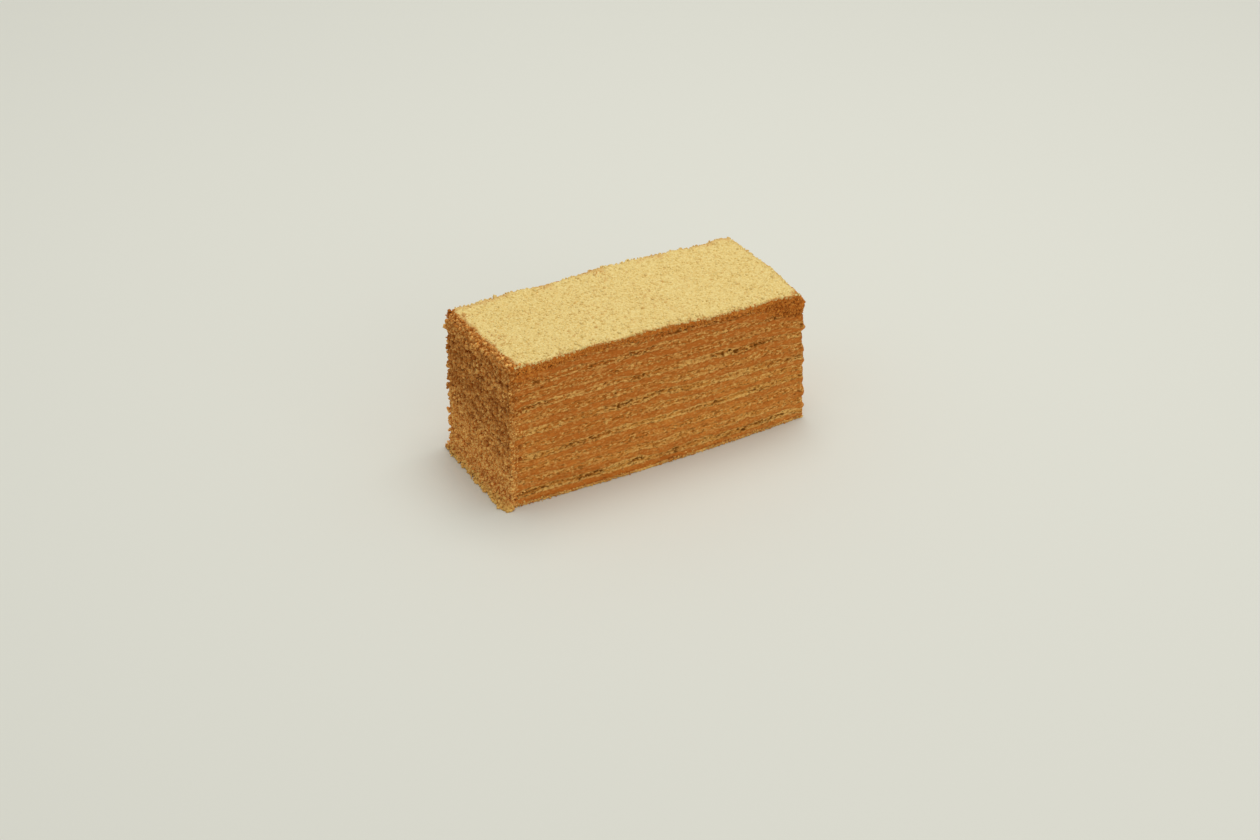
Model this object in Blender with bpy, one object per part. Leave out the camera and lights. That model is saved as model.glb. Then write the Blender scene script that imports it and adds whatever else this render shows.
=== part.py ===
"""A slice of layered honey cake, cut from a square cake, standing on its base.

Eleven thin sponge layers lie between twelve layers of caramel cream, over a dusting
of crumbs. A coat of fine crumbs covers the top and a coarser one covers one end.

Metres, +Z up. +X runs along the slice, away from the crumbed end, and -Y is the long
cut face. The origin is the middle of the base.
"""

import bmesh
import bpy
from mathutils import Vector, noise
from mathutils.geometry import delaunay_2d_cdt

# Driving dimensions of the slice
LENGTH = 0.1090
WIDTH = 0.0430

# The stack, from the base up
BASE_CRUMBS = 0.0007
CREAM = 0.0020
SPONGE = 0.00247
SPONGE_COUNT = 11
TOP_CREAM = 0.0013
TOP_CRUMBS = 0.0012
END_CRUMBS = 0.0014
GAP = 0.0003

# How the top settles: drops and sags as shares of the full height, and where along the
# slice each sag starts and ends
FRONT_DROP = 0.004
FRONT_SAG = 0.047
FRONT_SAG_SPAN = (0.3, 0.85)
BACK_DROP = 0.019
BACK_SAG = 0.046
BACK_SAG_SPAN = (0.5, 1.0)
CORNER_DROP = 0.030
CORNER_LENGTH = 0.10
CORNER_WIDTH = 0.45

# How far the foot of the long cut face bows out at its middle, and the far end's lean: out
# at its foot, and from there in towards its top
BOW = 0.0016
LEAN_OUT = 0.0010
LEAN_IN = 0.0022

# Waves of the layers: a slow one that they share and a quick one of their own
SLOW_WAVE = 0.045
SLOW_HEIGHT = 0.0008
SLOW_DRIFT = 0.16
QUICK_WAVE = 0.018
QUICK_HEIGHT = 0.0005
QUICK_DRIFT = 5.3
WAVES_FROM = 5

# How far each kind of layer stands out of the nominal outline, and how unevenly
CREAM_BULGE = 0.00025
SPONGE_BULGE = -0.00015
KNIFE_ROUGHNESS = 0.0005
TORN_ROUGHNESS = 0.0012
ROUGHNESS_WAVE = 0.011
ROUGHNESS_DRIFT = 0.37

# Crumbs: bumps about a crumb across, a rounded rim, and a skirt at the crumbed end's foot
BUMP = 0.0022
TOP_BUMP_HEIGHT = 0.0011
END_BUMP = 0.0027
END_BUMP_HEIGHT = 0.0015
RIM_WIDTH = 0.0026
RIM_DROP = 0.0008
FOOT_SPREAD = 0.0016
FOOT_HEIGHT = 0.0045

# Spacing of the points of the layers' outlines and of their broad faces
RIM_PITCH = 0.0061
FACE_PITCH = 0.0105

CRUMB_YELLOW = (226, 198, 128)
CRUMB_BROWN = (160, 108, 56)
SPONGE_YELLOW = (196, 146, 72)
CREAM_BROWN = (178, 112, 48)
CARAMEL = (158, 82, 28)


def clear_scene():
    for old in list(bpy.data.objects):
        bpy.data.objects.remove(old, do_unlink=True)


def crumbly_material(name, color, roughness):
    """A matt food material; color is given in sRGB, 0 to 255."""
    linear = [(value / 255) ** 2.2 for value in color]
    material = bpy.data.materials.new(name)
    material.use_nodes = True
    shader = material.node_tree.nodes["Principled BSDF"]
    shader.inputs["Base Color"].default_value = (*linear, 1)
    shader.inputs["Roughness"].default_value = roughness
    shader.inputs["Metallic"].default_value = 0
    material.diffuse_color = (*linear, 1)
    return material


def ease(low, high, value):
    """0 below low, 1 above high, and a smooth step between them."""
    share = min(max((value - low) / (high - low), 0), 1)
    return share * share * (3 - 2 * share)


def unevenness(x, y, z):
    """A smooth random value, about -0.5 to 0.5."""
    return noise.noise(Vector((x, y, z)))


def stack_levels():
    """Full-height levels of the boundaries: under and over the base crumbs, then over each layer."""
    levels = [0, BASE_CRUMBS]
    for _ in range(SPONGE_COUNT):
        levels.append(levels[-1] + CREAM)
        levels.append(levels[-1] + SPONGE)
    levels.append(levels[-1] + TOP_CREAM)
    levels.append(levels[-1] + TOP_CRUMBS)
    return levels


LEVELS = stack_levels()


def settled(x, y):
    """The height of the slice at a place, as a share of its full height."""
    along = x / LENGTH + 0.5
    across = y / WIDTH + 0.5
    front = 1 - FRONT_DROP - FRONT_SAG * ease(*FRONT_SAG_SPAN, along)
    back = 1 - BACK_DROP - BACK_SAG * ease(*BACK_SAG_SPAN, along)
    corner = CORNER_DROP * ease(1 - CORNER_LENGTH, 1, along) * (1 - ease(0, CORNER_WIDTH, across))
    return front + (back - front) * ease(0, 1, across) - corner


def boundary(index, x, y):
    """The height at a place of the boundary with this index in LEVELS."""
    slow = SLOW_HEIGHT * unevenness(x / SLOW_WAVE, y / SLOW_WAVE, index * SLOW_DRIFT)
    quick = QUICK_HEIGHT * unevenness(x / QUICK_WAVE, y / QUICK_WAVE, index * QUICK_DRIFT)
    strength = min(index / WAVES_FROM, 1)
    return LEVELS[index] * settled(x, y) + strength * (slow + quick)


def spaced(low, high, pitch):
    """Evenly spaced values from low to high, about pitch apart."""
    steps = max(round((high - low) / pitch), 1)
    return [low + (high - low) * step / steps for step in range(steps + 1)]


def rectangle_rim(low, high, pitch):
    """Points round a rectangle, anticlockwise from its low corner."""
    across = spaced(low[0], high[0], pitch)
    up = spaced(low[1], high[1], pitch)
    rim = [(u, low[1]) for u in across[:-1]]
    rim += [(high[0], v) for v in up[:-1]]
    rim += [(u, high[1]) for u in reversed(across[1:])]
    rim += [(low[0], v) for v in reversed(up[1:])]
    return rim


def tiled(rim, low, high, pitch):
    """The rim with a grid of points inside it, and the triangles that join them all."""
    points = [Vector(point) for point in rim]
    for u in spaced(low[0], high[0], pitch)[1:-1]:
        points += [Vector((u, v)) for v in spaced(low[1], high[1], pitch)[1:-1]]
    edges = [(i, (i + 1) % len(rim)) for i in range(len(rim))]
    triangles = delaunay_2d_cdt(points, edges, [], 1, 1e-7)[2]
    return points, [tuple(triangle) for triangle in triangles]


def closed_body(name, material, low, high, rim_pitch, faces):
    """One solid between two surfaces over the rectangle from low to high.

    faces holds, for the outer and then the inner surface, its point spacing and the
    function that takes a point of the rectangle, and whether it is on the rim, to space.
    """
    rim = rectangle_rim(low, high, rim_pitch)
    mesh = bmesh.new()
    rims = []
    for pitch, place, flip in ((*faces[0], False), (*faces[1], True)):
        points, triangles = tiled(rim, low, high, pitch)
        verts = [mesh.verts.new(place(*point, index < len(rim))) for index, point in enumerate(points)]
        for triangle in triangles:
            corners = [verts[index] for index in triangle]
            mesh.faces.new(reversed(corners) if flip else corners)
        rims.append(verts[: len(rim)])
    outer, inner = rims
    for index in range(len(rim)):
        after = (index + 1) % len(rim)
        mesh.faces.new((outer[after], outer[index], inner[index]))
        mesh.faces.new((outer[after], inner[index], inner[after]))
    bmesh.ops.recalc_face_normals(mesh, faces=mesh.faces[:])
    data = bpy.data.meshes.new(name)
    mesh.to_mesh(data)
    mesh.free()
    data.materials.append(material)
    body = bpy.data.objects.new(name, data)
    bpy.context.scene.collection.objects.link(body)
    return body


def pushed_out(x, y, low, high, bulge, index):
    """A point of the rim at the boundary with this index, moved out of its rectangle: a little
    where a knife cut it, more at the torn back and far end, and not at all beside the end crumbs."""
    normal = Vector((0, 0))
    roughness = 0
    if abs(y - low[1]) < GAP:
        normal.y -= 1
        roughness = KNIFE_ROUGHNESS
    if abs(y - high[1]) < GAP:
        normal.y += 1
        roughness = TORN_ROUGHNESS
    if abs(x - high[0]) < GAP:
        normal.x += 1
        roughness = TORN_ROUGHNESS
    ragged = unevenness(x / ROUGHNESS_WAVE, y / ROUGHNESS_WAVE, index * ROUGHNESS_DRIFT)
    return Vector((x, y)) + normal * (bulge + roughness * ragged)


def lean(index):
    """How far out of the nominal outline the far end stands at this boundary."""
    return LEAN_OUT - LEAN_IN * (index / (len(LEVELS) - 1)) ** 2


def swollen(x, y, low, high, bulge, index):
    """A point of a layer's rim, pushed out and with the bow and the lean of its side."""
    place = pushed_out(x, y, low, high, bulge, index)
    along = (x - low[0]) / (high[0] - low[0])
    if abs(y - low[1]) < GAP:
        place.y -= BOW * 4 * along * (1 - along) * (1 - index / (len(LEVELS) - 1)) ** 2
    if abs(x - high[0]) < GAP:
        place.x += lean(index)
    return place


def add_layer(name, material, index, bulge):
    """The layer between the boundaries index and index + 1, less half a gap on each side."""
    low = (-LENGTH / 2 + END_CRUMBS + GAP, -WIDTH / 2)
    high = (LENGTH / 2, WIDTH / 2)
    lift = GAP / 2 if index else 0

    def upper(x, y, on_rim):
        place = swollen(x, y, low, high, bulge, index + 1) if on_rim else Vector((x, y))
        return Vector((*place, boundary(index + 1, x, y) - GAP / 2))

    def lower(x, y, on_rim):
        place = swollen(x, y, low, high, bulge, index) if on_rim else Vector((x, y))
        return Vector((*place, boundary(index, x, y) + lift))

    faces = ((FACE_PITCH, upper), (FACE_PITCH, lower))
    return closed_body(name, material, low, high, RIM_PITCH, faces)


def add_top_crumbs(material):
    """The crumb coat over the whole top: bumpy above, with a frayed and rounded rim."""
    index = len(LEVELS) - 2
    low = (-LENGTH / 2, -WIDTH / 2)
    high = (LENGTH / 2 + lean(index), WIDTH / 2)

    def frayed(x, y):
        place = pushed_out(x, y, low, high, 0, index)
        ragged = KNIFE_ROUGHNESS * unevenness(x / BUMP, y / BUMP, index)
        return place + Vector((x / LENGTH, y / WIDTH)) * ragged

    def upper(x, y, on_rim):
        inset = min(x - low[0], high[0] - x, y - low[1], high[1] - y)
        droop = RIM_DROP * (1 - ease(0, RIM_WIDTH, inset))
        bump = TOP_BUMP_HEIGHT * unevenness(x / BUMP + 0.5, y / BUMP + 0.5, 0.5)
        bump *= ease(-RIM_WIDTH, RIM_WIDTH, inset)
        place = frayed(x, y) if on_rim else Vector((x, y))
        return Vector((*place, boundary(index + 1, x, y) - droop + bump))

    def lower(x, y, on_rim):
        place = frayed(x, y) if on_rim else Vector((x, y))
        return Vector((*place, boundary(index, x, y) + GAP / 2))

    faces = ((BUMP, upper), (FACE_PITCH, lower))
    return closed_body("crumb_top", material, low, high, BUMP, faces)


def add_end_crumbs(material):
    """The coarser coat on the -X end, from the base to the top crumbs, spreading at its foot."""
    low = (-WIDTH / 2, 0)
    high = (WIDTH / 2, LEVELS[-2])
    start = -LENGTH / 2

    def height(y, z):
        return (boundary(len(LEVELS) - 2, start, y) - GAP / 2) * z / high[1]

    def outer(y, z, on_rim):
        bump = END_BUMP_HEIGHT * unevenness(y / END_BUMP + 0.5, z / END_BUMP + 0.5, 9.5)
        foot = FOOT_SPREAD * (1 - ease(0, FOOT_HEIGHT, z)) * (1 - ease(low[0], high[0], y) / 2)
        return Vector((start - foot - (bump / 2 if on_rim else bump), y, height(y, z)))

    def inner(y, z, on_rim):
        return Vector((start + END_CRUMBS, y, height(y, z)))

    faces = ((END_BUMP, outer), (FACE_PITCH, inner))
    return closed_body("crumb_end", material, low, high, END_BUMP, faces)


def centre_on_base(bodies):
    """Moves every body so that the middle of the whole slice's base is the origin."""
    points = [vertex.co for body in bodies for vertex in body.data.vertices]
    middle = [(min(p[axis] for p in points) + max(p[axis] for p in points)) / 2 for axis in (0, 1)]
    for body in bodies:
        for vertex in body.data.vertices:
            vertex.co -= Vector((*middle, 0))


def main():
    clear_scene()
    pale_crumbs = crumbly_material("pale_crumbs", CRUMB_YELLOW, 0.9)
    brown_crumbs = crumbly_material("brown_crumbs", CRUMB_BROWN, 0.9)
    sponge = crumbly_material("sponge", SPONGE_YELLOW, 0.85)
    cream = crumbly_material("cream", CREAM_BROWN, 0.55)
    caramel = crumbly_material("caramel", CARAMEL, 0.5)

    bodies = [add_layer("crumb_base", pale_crumbs, 0, SPONGE_BULGE)]
    for number in range(1, SPONGE_COUNT + 1):
        index = 2 * number - 1
        bodies.append(add_layer(f"cream_{number:02d}", cream, index, CREAM_BULGE))
        bodies.append(add_layer(f"sponge_{number:02d}", sponge, index + 1, SPONGE_BULGE))
    top = SPONGE_COUNT + 1
    bodies.append(add_layer(f"cream_{top:02d}", caramel, 2 * top - 1, CREAM_BULGE))
    bodies.append(add_top_crumbs(pale_crumbs))
    bodies.append(add_end_crumbs(brown_crumbs))
    centre_on_base(bodies)


main()
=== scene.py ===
"""The looks of a slice of layered honey cake: cut layers, crumb coats and single crumbs.

Points are in metres in the slice's own coordinates, which add_mesh puts in the frame: the
origin is the middle of its outline on the floor, +x runs away from the crumbed end, and -y
is out of the long cut face.
"""

import math

import bpy
import numpy as np
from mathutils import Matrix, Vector, noise
from mathutils.geometry import delaunay_2d_cdt


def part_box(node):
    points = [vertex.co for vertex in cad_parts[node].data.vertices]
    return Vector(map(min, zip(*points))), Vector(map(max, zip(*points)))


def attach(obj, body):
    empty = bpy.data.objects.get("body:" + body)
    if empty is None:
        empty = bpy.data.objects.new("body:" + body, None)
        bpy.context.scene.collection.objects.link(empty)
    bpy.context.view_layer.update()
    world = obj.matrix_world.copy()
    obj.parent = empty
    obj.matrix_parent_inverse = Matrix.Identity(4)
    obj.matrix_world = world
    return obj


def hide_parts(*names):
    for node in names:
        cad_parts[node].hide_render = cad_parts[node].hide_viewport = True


bl_info = {
    "name": "Honey Cake Slice",
    "version": (1, 0, 0),
    "blender": (4, 5, 0),
    "location": "3D Viewport > Sidebar > Honey Cake",
    "description": "Builds a slice of layered honey cake with its crumbs, and a pale studio for it",
    "category": "Add Mesh",
}

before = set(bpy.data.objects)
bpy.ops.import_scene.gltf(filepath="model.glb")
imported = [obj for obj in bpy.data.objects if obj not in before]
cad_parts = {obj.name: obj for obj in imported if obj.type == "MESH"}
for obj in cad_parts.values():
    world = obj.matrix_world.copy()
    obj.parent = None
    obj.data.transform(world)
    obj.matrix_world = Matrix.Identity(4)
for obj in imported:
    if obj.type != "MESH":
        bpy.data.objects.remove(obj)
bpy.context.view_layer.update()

MM = 0.001

# The stack of the slice, from the base up, and how its top settles
BASE_CRUMBS = 0.70 * MM
CREAM = 2.00 * MM
SPONGE = 2.47 * MM
SPONGE_COUNT = 11
TOP_CREAM = 1.30 * MM
TOP_CRUMBS = 1.20 * MM
END_CRUMBS = 1.40 * MM
LENGTH = 109.0 * MM
FRONT_DROP = 0.004
FRONT_SAG = 0.047
FRONT_SAG_SPAN = (0.3, 0.85)
BACK_DROP = 0.019
BACK_SAG = 0.046
BACK_SAG_SPAN = (0.5, 1.0)
CORNER_DROP = 0.030
CORNER_LENGTH = 0.10
CORNER_WIDTH = 0.45

# The bow of the cut face's foot, the far end's lean, out at its foot and in above, and how
# far the top's rim is worn back there
BOW = 1.6 * MM
LEAN_OUT = 1.5 * MM
LEAN_IN = 2.7 * MM
WORN_BACK = 0.6 * MM

# The waves that the layers lie in, and the unevenness of their outlines
SLOW_WAVE = 45 * MM
SLOW_HEIGHT = 0.8 * MM
SLOW_DRIFT = 0.16
QUICK_WAVE = 18 * MM
QUICK_HEIGHT = 0.5 * MM
QUICK_DRIFT = 5.3
WAVES_FROM = 5
KNIFE_ROUGHNESS = 0.5 * MM
TORN_ROUGHNESS = 0.8 * MM
ROUGHNESS_WAVE = 11 * MM
ROUGHNESS_DRIFT = 0.37

# The end coat's box holds the slice's width and its place in the frame
END_LOW, END_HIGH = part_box("crumb_end")
WIDTH = END_HIGH.y - END_LOW.y
MIDDLE = np.array([END_HIGH.x - END_CRUMBS + LENGTH / 2, (END_LOW.y + END_HIGH.y) / 2])
LOW = np.array([-LENGTH / 2, -WIDTH / 2])
HIGH = -LOW


# --- Random fields, each with a seed that picks its pattern -----------------------------

# In cells of its grid: how far a dome strays, its least radius, and how much wider it can be
DOME_STRAY = 0.7
DOME_RADIUS = 0.45
DOME_WIDER = 0.4


def scrambled(cells, seed):
    """A random value from 0 to 1 for each row of whole numbers."""
    mixed = np.full(cells.shape[:-1], seed + 1, np.uint64)
    for axis in range(cells.shape[-1]):
        mixed = (mixed ^ cells[..., axis].astype(np.uint64)) * np.uint64(0x9E3779B97F4A7C15)
        mixed ^= mixed >> np.uint64(29)
        mixed *= np.uint64(0xBF58476D1CE4E5B9)
        mixed ^= mixed >> np.uint64(32)
    return (mixed >> np.uint64(11)).astype(float) / 2.0**53


def grain(points, size, seed):
    """Smooth random values from -1 to 1, with features about size across."""
    cells = points / np.asarray(size)
    base = np.floor(cells)
    share = cells - base
    share = share * share * (3 - 2 * share)
    base = base.astype(np.int64)
    total = np.zeros(len(points))
    for corner in np.ndindex(*(2,) * points.shape[1]):
        weight = np.where(corner, share, 1 - share).prod(axis=1)
        total += weight * scrambled(base + np.array(corner), seed)
    return 2 * total - 1


def domes(places, size, seed, share=1.0):
    """Heights from 0 to 1 of round bumps about size across, in a share of a loose grid's cells."""
    cells = places / np.asarray(size)
    base = np.floor(cells).astype(np.int64)
    highest = np.zeros(len(places))
    for step in np.ndindex(3, 3):
        cell = base + np.array(step) - 1
        draws = np.stack([scrambled(cell, seed), scrambled(cell, seed + 1)], axis=1)
        centre = cell + 0.5 + DOME_STRAY * (draws - 0.5)
        radius = DOME_RADIUS + DOME_WIDER * scrambled(cell, seed + 2)
        there = scrambled(cell, seed + 3) < share
        gone = ((cells - centre) ** 2).sum(axis=1) / radius**2
        height = there * radius / (DOME_RADIUS + DOME_WIDER) * np.sqrt(np.clip(1 - gone, 0, 1))
        highest = np.maximum(highest, height)
    return highest


def ease(low, high, value):
    """0 below low, 1 above high, and a smooth step between them."""
    share = np.clip((value - low) / (high - low), 0, 1)
    return share * share * (3 - 2 * share)


# --- The form of the slice -------------------------------------------------------------


def stack_levels():
    """Full-height levels of the boundaries: under and over the base crumbs, then over each layer."""
    levels = [0, BASE_CRUMBS]
    for _ in range(SPONGE_COUNT):
        levels.append(levels[-1] + CREAM)
        levels.append(levels[-1] + SPONGE)
    levels.append(levels[-1] + TOP_CREAM)
    levels.append(levels[-1] + TOP_CRUMBS)
    return levels


LEVELS = stack_levels()
COAT_FOOT = len(LEVELS) - 2
COAT_TOP = len(LEVELS) - 1


def wave(places, size, drift):
    """The smooth noise that the solids use, about -0.5 to 0.5, at rows of x and y."""
    return np.array([noise.noise(Vector((x / size, y / size, drift))) for x, y in places])


def settled(places):
    """The height of the slice at each place, as a share of its full height."""
    along = places[:, 0] / LENGTH + 0.5
    across = places[:, 1] / WIDTH + 0.5
    front = 1 - FRONT_DROP - FRONT_SAG * ease(*FRONT_SAG_SPAN, along)
    back = 1 - BACK_DROP - BACK_SAG * ease(*BACK_SAG_SPAN, along)
    corner = CORNER_DROP * ease(1 - CORNER_LENGTH, 1, along) * (1 - ease(0, CORNER_WIDTH, across))
    return front + (back - front) * ease(0, 1, across) - corner


def boundary(index, places):
    """The height at each place of the boundary with this index in LEVELS."""
    slow = SLOW_HEIGHT * wave(places, SLOW_WAVE, index * SLOW_DRIFT)
    quick = QUICK_HEIGHT * wave(places, QUICK_WAVE, index * QUICK_DRIFT)
    strength = min(index / WAVES_FROM, 1)
    return LEVELS[index] * settled(places) + strength * (slow + quick)


def laid_on(index):
    """The function that lays places on the boundary with this index."""
    return lambda places: np.column_stack([places, boundary(index, places)])


def lean(index):
    """How far out of the nominal outline the far end stands at this boundary."""
    return LEAN_OUT - LEAN_IN * (index / COAT_TOP) ** 2 - WORN_BACK * (index >= COAT_FOOT)


def bow(index, x):
    """How far the cut face bows out at this boundary."""
    along = np.clip(x / LENGTH + 0.5, 0, 1)
    return BOW * 4 * along * (1 - along) * (1 - index / COAT_TOP) ** 2


def spaced(low, high, pitch):
    """Evenly spaced values from low to high, about pitch apart."""
    return np.linspace(low, high, max(round((high - low) / pitch), 1) + 1)


def rounded_rim(low, high, pitch, radii, hidden_pitch=None):
    """Points round a rectangle and their outward directions, anticlockwise from its low corner;
    radii are those of its corners in the same order. Its low side in the first direction has
    hidden_pitch where that is given."""
    corners = np.array([low, (high[0], low[1]), high, (low[0], high[1])])
    ways = np.array([(1, 0), (0, 1), (-1, 0), (0, -1)], float)
    points, normals = [], []
    for side in range(4):
        way, after = ways[side], ways[(side + 1) % 4]
        out = -after
        corner, next_corner = corners[side], corners[(side + 1) % 4]
        radius, next_radius = radii[side], radii[(side + 1) % 4]
        side_pitch = hidden_pitch if side == 3 and hidden_pitch else pitch
        steps = spaced(radius, np.abs(next_corner - corner).sum() - next_radius, side_pitch)
        points.append(corner + way * steps[:-1, None])
        normals.append(np.tile(out, (len(steps) - 1, 1)))
        if next_radius:
            turns = spaced(0, math.pi / 2, pitch / next_radius)[:-1, None]
            middle = next_corner - way * next_radius + after * next_radius
            normals.append(out * np.cos(turns) + way * np.sin(turns))
            points.append(middle + next_radius * normals[-1])
    return np.concatenate(points), np.concatenate(normals)


def visible(outward):
    """Which points of an outline don't face the crumbed end, which its coat hides."""
    return outward[:, 0] > -0.5


def tornness(outward):
    """1 where an outline faces a torn side, and 0 where it faces the knife-cut one."""
    return np.clip(outward.max(axis=1), 0, 1)


def inner_grid(low, high, pitch):
    """Points of a grid inside a rectangle, clear of its rim."""
    u, v = spaced(low[0], high[0], pitch)[1:-1], spaced(low[1], high[1], pitch)[1:-1]
    return np.stack(np.meshgrid(u, v, indexing="ij"), axis=-1).reshape(-1, 2)


def tiled(rim, inside):
    """The triangles that join a rim of points and the points inside it."""
    points = [Vector(point) for point in np.concatenate([rim, inside])]
    edges = [(index, (index + 1) % len(rim)) for index in range(len(rim))]
    return np.array(delaunay_2d_cdt(points, edges, [], 1, 1e-9)[2])


# --- Meshes ----------------------------------------------------------------------------


def add_object(name, data):
    made = bpy.data.objects.new(name, data)
    bpy.context.scene.collection.objects.link(made)
    return made


def add_mesh(name, points, faces, material, values):
    """A smooth piece of these points in the frame; values are numbers that its material reads
    at each point."""
    mesh = bpy.data.meshes.new(name)
    mesh.from_pydata((points + np.array([*MIDDLE, 0])).tolist(), [], faces.tolist())
    mesh.materials.append(material)
    mesh.shade_smooth()
    for label, numbers in values.items():
        layer = mesh.attributes.new(label, "FLOAT", "POINT")
        layer.data.foreach_set("value", np.ascontiguousarray(numbers, np.float32))
    return add_object(name, mesh)


def dress(piece, node):
    """Put the piece in place of its solid."""
    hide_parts(node)
    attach(piece, "root")


def wall_triangles(count, rows):
    """The faces of a closed wall of rows + 1 rings of count points, as triangles facing out."""
    ring = np.arange(count)
    after = (ring + 1) % count
    quads = [
        np.stack([ring + low, after + low, after + low + count, ring + low + count], axis=1)
        for low in np.arange(rows) * count
    ]
    quads = np.concatenate(quads)
    return np.concatenate([quads[:, [0, 1, 2]], quads[:, [0, 2, 3]]])


def closed_piece(rim, rings, lower_inside, upper_inside, lower, upper):
    """Points and faces of one solid: a wall of rings over the rim's points, closed at its
    first and last ring by the points that lower and upper make of the points inside."""
    count, rows = len(rim), len(rings) - 1
    under, over = lower(lower_inside), upper(upper_inside)
    points = np.concatenate([*rings, under, over])
    start = count * (rows + 1)
    caps = []
    for inside, first, offset, turned in (
        (lower_inside, 0, start, True),
        (upper_inside, count * rows, start + len(under), False),
    ):
        faces = tiled(rim, inside)
        faces = np.where(faces < count, faces + first, faces - count + offset)
        caps.append(faces[:, ::-1] if turned else faces)
    return points, np.concatenate([wall_triangles(count, rows), *caps])


# --- Materials -------------------------------------------------------------------------

SHEEN = 0.04
GRAIN_STRETCH = (1.5, 1.5, 0.7)
FLOOR_SHADE = (0.70, 0.71, 0.66)

# The settings that hold the deep, pale and toasted colours of each kind of crumb, and how
# softly its speckle goes from deep to pale; the brown crumbs' toasted colour also carries
# their painted shade
CRUMB_KINDS = {
    "pale": ("crumb_deep", "crumb_pale", "toast_color", 0.25),
    "brown": ("end_deep", "end_pale", "end_toast_and_shade", 0.12),
    "edge": ("rust_color", "edge_color", "end_toast_and_shade", 0.25),
    "foot": ("end_pale", "foot_color", "toast_color", 0.25),
}


class Paint:
    """A material while its nodes are laid; color is what it shows so far. A share is a number
    or a node's output, and so is a colour, as three numbers or an output."""

    def __init__(self, name, roughness):
        self.material = bpy.data.materials.new(name)
        self.material.use_nodes = True
        self.tree = self.material.node_tree
        self.shader = self.tree.nodes["Principled BSDF"]
        self.shader.inputs["Roughness"].default_value = roughness
        self.shader.inputs["Specular IOR Level"].default_value = SHEEN
        self.where = self.tree.nodes.new("ShaderNodeTexCoord").outputs["Object"]
        self.color = None

    def fill(self, socket, value):
        if isinstance(value, bpy.types.NodeSocket):
            self.tree.links.new(value, socket)
        else:
            socket.default_value = value

    def add(self, kind, **inputs):
        """A node with these inputs; a name's underscores stand for spaces, and input_N is the
        input's number."""
        node = self.tree.nodes.new(kind)
        for name, value in inputs.items():
            key = int(name[6:]) if name.startswith("input_") else name.replace("_", " ")
            self.fill(node.inputs[key], value)
        return node

    def speckle(self, size, detail=2, stretch=(1, 1, 1), shift=0.0):
        """A noise value about 0.5, in features about size across, drawn out by stretch."""
        mapping = self.add("ShaderNodeMapping", Vector=self.where)
        mapping.inputs["Location"].default_value = (shift, shift, shift)
        mapping.inputs["Scale"].default_value = [1 / (size * share) for share in stretch]
        made = self.add("ShaderNodeTexNoise", Vector=mapping.outputs[0], Scale=1.0, Detail=detail)
        return made.outputs["Fac"]

    def spread(self, value, low, high):
        """value spread so that low gives 0 and high gives 1."""
        made = self.add("ShaderNodeMapRange", Value=value, From_Min=low, From_Max=high)
        made.interpolation_type = "SMOOTHSTEP"
        return made.outputs["Result"]

    def spots(self, size, span, detail=2, stretch=(1, 1, 1), shift=0.0):
        """A share from 0 to 1 in spots about size across: a speckle spread over span."""
        return self.spread(self.speckle(size, detail, stretch, shift), *span)

    def reading(self, label):
        """The value that the mesh holds under this label."""
        made = self.tree.nodes.new("ShaderNodeAttribute")
        made.attribute_name = label
        return made.outputs["Fac"]

    def between(self, share, first, second):
        """The colour that is this share of the way from first to second."""
        made = self.tree.nodes.new("ShaderNodeMix")
        made.data_type = "RGBA"
        self.fill(made.inputs[0], share)
        for key, color in ((6, first), (7, second)):
            is_output = isinstance(color, bpy.types.NodeSocket)
            self.fill(made.inputs[key], color if is_output else (*color, 1))
        return made.outputs[2]

    def tint(self, color, share, amount=None):
        """Take the paint's colour towards color by a share, or by a share of an amount."""
        if amount is not None:
            made = self.add("ShaderNodeMath", input_0=share, input_1=amount)
            made.operation = "MULTIPLY"
            share = made.outputs[0]
        self.color = self.between(share, self.color, color)

    def finished(self, relief=None, depth=0.0):
        """The material, with bumps of this depth where relief is given."""
        self.tree.links.new(self.color, self.shader.inputs["Base Color"])
        if relief:
            bump = self.add("ShaderNodeBump", Height=relief, Distance=depth, Strength=1.0)
            self.tree.links.new(bump.outputs[0], self.shader.inputs["Normal"])
        return self.material


def drift(paint, caramel):
    """Take the whole cut towards caramel in large drifts and more at its crumbed end, and darker
    towards its top as painted shade in the caramel colour.
    """
    paint.tint(caramel, paint.spots(11 * MM, (0.42, 0.66), 2, (1.3, 1.3, 0.4), 3.1), 0.4)
    place = paint.add("ShaderNodeSeparateXYZ", input_0=paint.where)
    # Painted shade: the cut darker towards its top, where less light bounces up from the floor
    paint.tint(caramel, paint.spread(place.outputs[2], 8 * MM, 50 * MM), 0.95)
    paint.tint(caramel, paint.spread(place.outputs[0], 25 * MM, -50 * MM), 0.2)


def add_grains(paint, settings, amount):
    """Light and dark grains by amount: partly the cut's own speckle, partly painted highlight and
    painted shade of its fine relief.
    """
    light = paint.spots(0.85 * MM, (0.51, 0.62), 3, GRAIN_STRETCH, 7.3)
    paint.tint(settings.sponge_edge, light, 0.65 * amount)
    dark = paint.spots(0.9 * MM, (0.51, 0.63), 3, GRAIN_STRETCH, 12.7)
    paint.tint(settings.grain_and_shade_color, dark, 0.75 * amount)


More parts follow.
